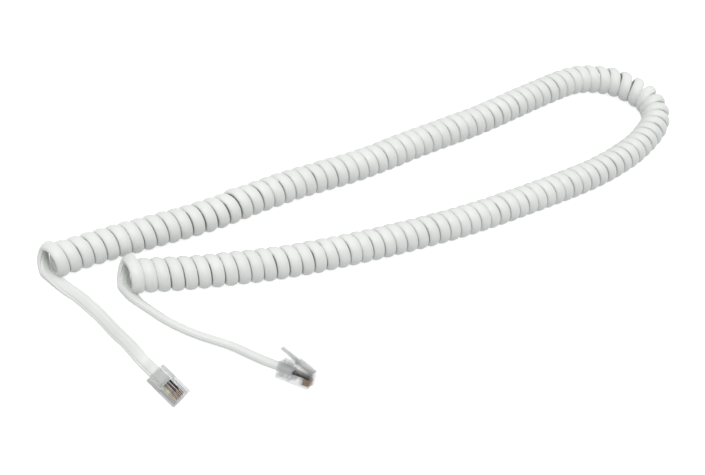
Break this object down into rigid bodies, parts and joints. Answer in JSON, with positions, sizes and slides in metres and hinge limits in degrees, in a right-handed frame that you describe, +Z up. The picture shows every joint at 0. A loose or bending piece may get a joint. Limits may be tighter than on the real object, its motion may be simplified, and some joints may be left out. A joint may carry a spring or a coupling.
{
  "type": "coiled telephone handset cord",
  "caption": "Coiled handset cord for a corded telephone: a white curly flat cord lying in a long U, with a clear latching modular plug on each straight tail.",
  "frame": {"origin": "on the table, under the middle of the object's box", "axes": "+X along the U's arms towards the bend, +Y across the arms from the front one to the back one, +Z up from the table"},
  "size_m": [0.2841, 0.1042, 0.0122],
  "materials": {
    "white_pvc": "semi-gloss soft vinyl",
    "clear_plastic": "clear moulded polycarbonate",
    "gold_contact": "gold-plated",
    "black_insulation": "smooth insulation",
    "red_insulation": "smooth insulation",
    "green_insulation": "smooth insulation",
    "yellow_insulation": "smooth insulation"
  },
  "bodies": {
    "cord": {"coil_cord": "white_pvc", "tail_a": "white_pvc", "tail_b": "white_pvc", "housing_a": "clear_plastic", "contact_1_a": "gold_contact", "contact_2_a": "gold_contact", "contact_3_a": "gold_contact", "contact_4_a": "gold_contact", "conductor_black_a": "black_insulation", "conductor_red_a": "red_insulation", "conductor_green_a": "green_insulation", "conductor_yellow_a": "yellow_insulation", "jacket_clamp_a": "clear_plastic", "wire_clamp_a": "clear_plastic", "housing_b": "clear_plastic", "contact_1_b": "gold_contact", "contact_2_b": "gold_contact", "contact_3_b": "gold_contact", "contact_4_b": "gold_contact", "conductor_black_b": "black_insulation", "conductor_red_b": "red_insulation", "conductor_green_b": "green_insulation", "conductor_yellow_b": "yellow_insulation", "jacket_clamp_b": "clear_plastic", "wire_clamp_b": "clear_plastic"},
    "latch_a": {"latch_a": "clear_plastic"},
    "latch_b": {"latch_b": "clear_plastic"}
  },
  "joints": [
    {"name": "latch_a_press", "type": "hinge", "parent": "cord", "child": "latch_a", "pos_m": [-0.1245, -0.03647, 0.00204], "axis": [0.835, 0.1937, 0.515], "range_deg": [0, 6.5], "stiffness_Nm_per_rad": 0.15},
    {"name": "latch_b_press", "type": "hinge", "parent": "cord", "child": "latch_b", "pos_m": [-0.08175, -0.04828, 0.0087], "axis": [-0.7974, -0.4053, 0.4471], "range_deg": [0, 6.5], "stiffness_Nm_per_rad": 0.15}
  ]
}
